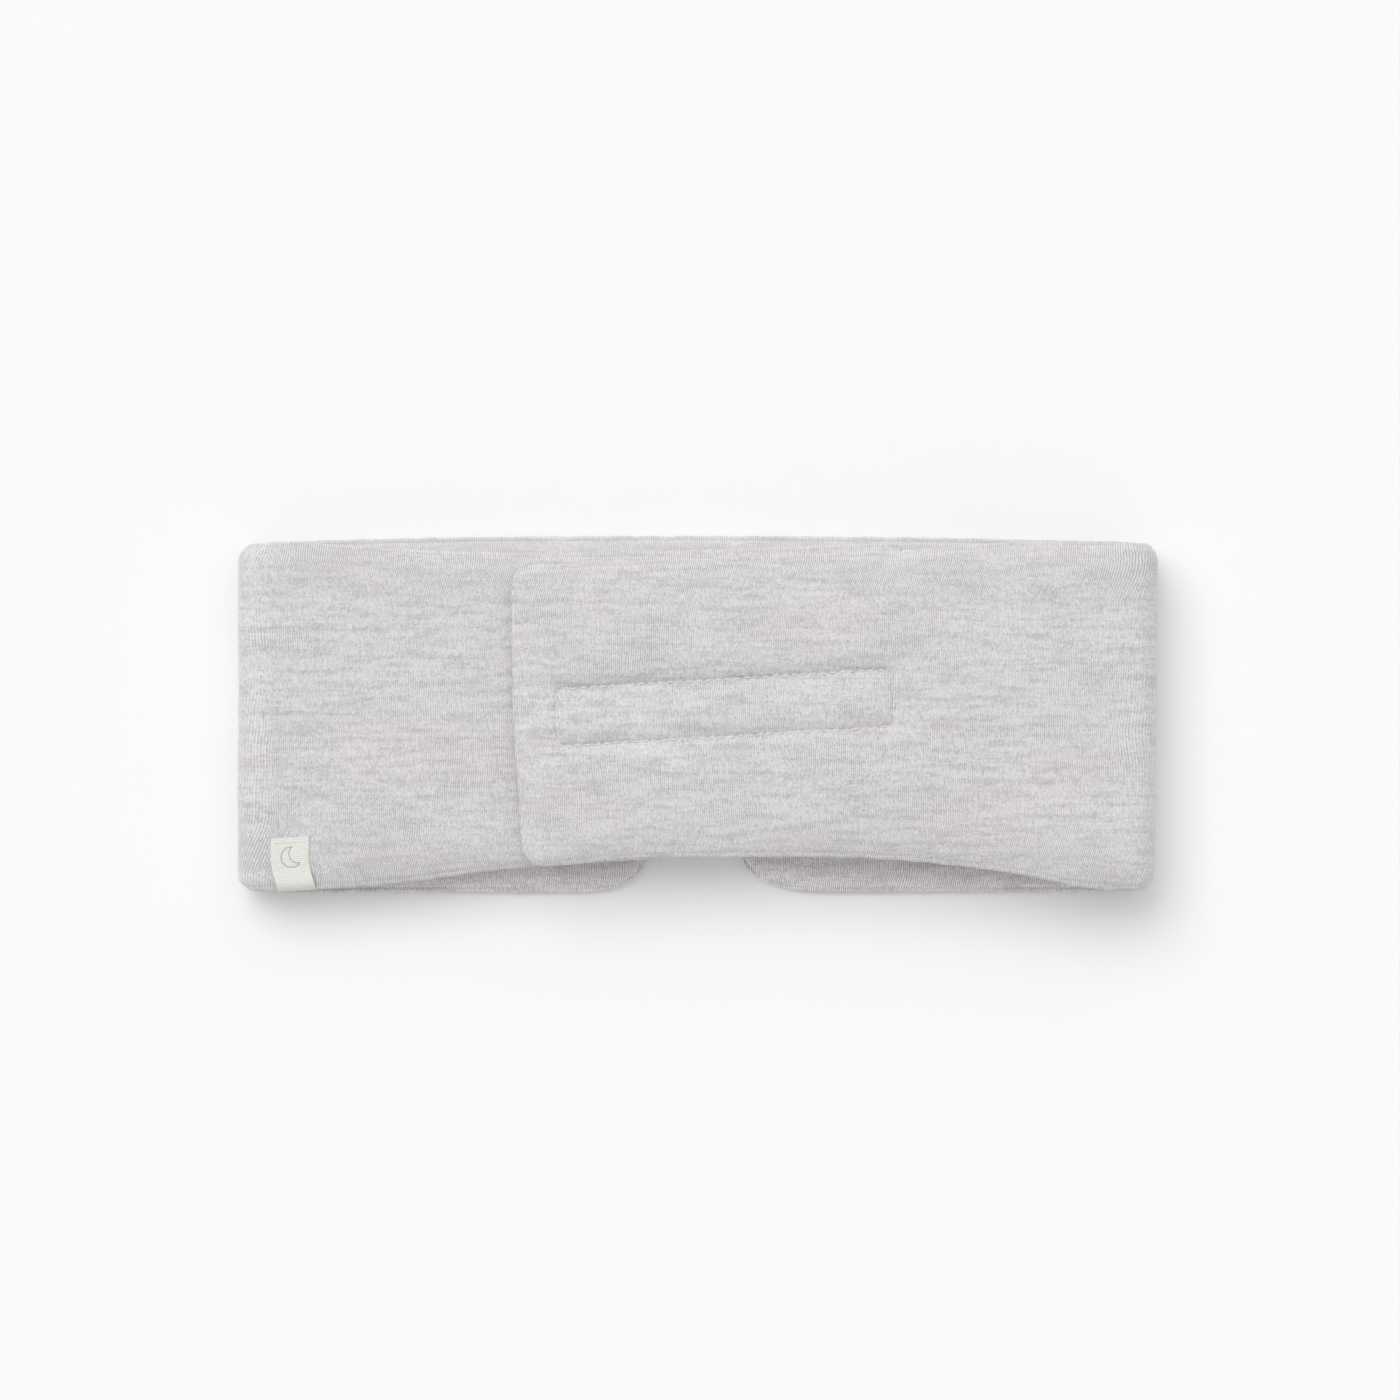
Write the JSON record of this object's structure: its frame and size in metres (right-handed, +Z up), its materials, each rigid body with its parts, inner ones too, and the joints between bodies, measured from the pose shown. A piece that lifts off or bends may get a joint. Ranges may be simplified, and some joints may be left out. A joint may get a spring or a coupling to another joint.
{
  "type": "padded wrap-around sleep mask",
  "caption": "Padded jersey sleep mask with a nose notch and two side wings that overlap at the back of the head and close with hook-and-loop tape, shown closed and lying flat.",
  "frame": {"origin": "middle of the closed mask's footprint, on the surface it lies on, under the front panel's outer face", "axes": "+X along the mask towards the fold of the wing that lies on top, +Y towards the forehead edge with the nose notch at -Y, +Z up from the front panel through the wings"},
  "size_m": [0.24, 0.093, 0.0248],
  "materials": {
    "shell_jersey": "brushed heather-grey jersey knit with fine wales and short darker streaks",
    "lining_jersey": "the same heather-grey jersey, on the side that lies on the face",
    "padding": "white needled polyester batting",
    "loop_pile": "soft brushed loop pile on a woven tape, pale grey",
    "hook_nylon": "woven nylon tape with rows of small stiff hooks, pale grey",
    "thread": "spun polyester sewing thread, light grey",
    "label_ribbon": "cream grosgrain ribbon with fine crosswise ribs",
    "label_thread": "cream sewing thread"
  },
  "bodies": {
    "front_panel": {"front_outer_shell": "shell_jersey", "front_padding": "padding", "front_inner_lining": "lining_jersey"},
    "left_wing": {"left_wing_outer_shell": "shell_jersey", "left_wing_padding": "padding", "left_wing_inner_lining": "lining_jersey", "loop_tape": "loop_pile", "loop_tape_stitching_upper": "thread", "loop_tape_stitching_lower": "thread", "loop_tape_stitching_left": "thread", "loop_tape_stitching_right": "thread", "side_label": "label_ribbon", "side_label_stitching": "label_thread"},
    "right_wing": {"right_wing_outer_shell": "shell_jersey", "right_wing_padding": "padding", "right_wing_inner_lining": "lining_jersey", "hook_tape": "hook_nylon", "hook_tape_stitching_upper": "thread", "hook_tape_stitching_lower": "thread", "hook_tape_stitching_left": "thread", "hook_tape_stitching_right": "thread"}
  },
  "joints": [
    {"name": "right_fold", "type": "hinge", "parent": "front_panel", "child": "right_wing", "pos_m": [0.12, 0, 0.0124], "axis": [0, 1, 0], "range_deg": [0, 180]},
    {"name": "left_fold", "type": "hinge", "parent": "front_panel", "child": "left_wing", "pos_m": [-0.12, 0, 0.0085], "axis": [0, -1, 0], "range_deg": [0, 180]}
  ],
  "couplings": [
    {"joint": "left_fold", "follows": "right_fold", "ratio": 0.3333}
  ]
}
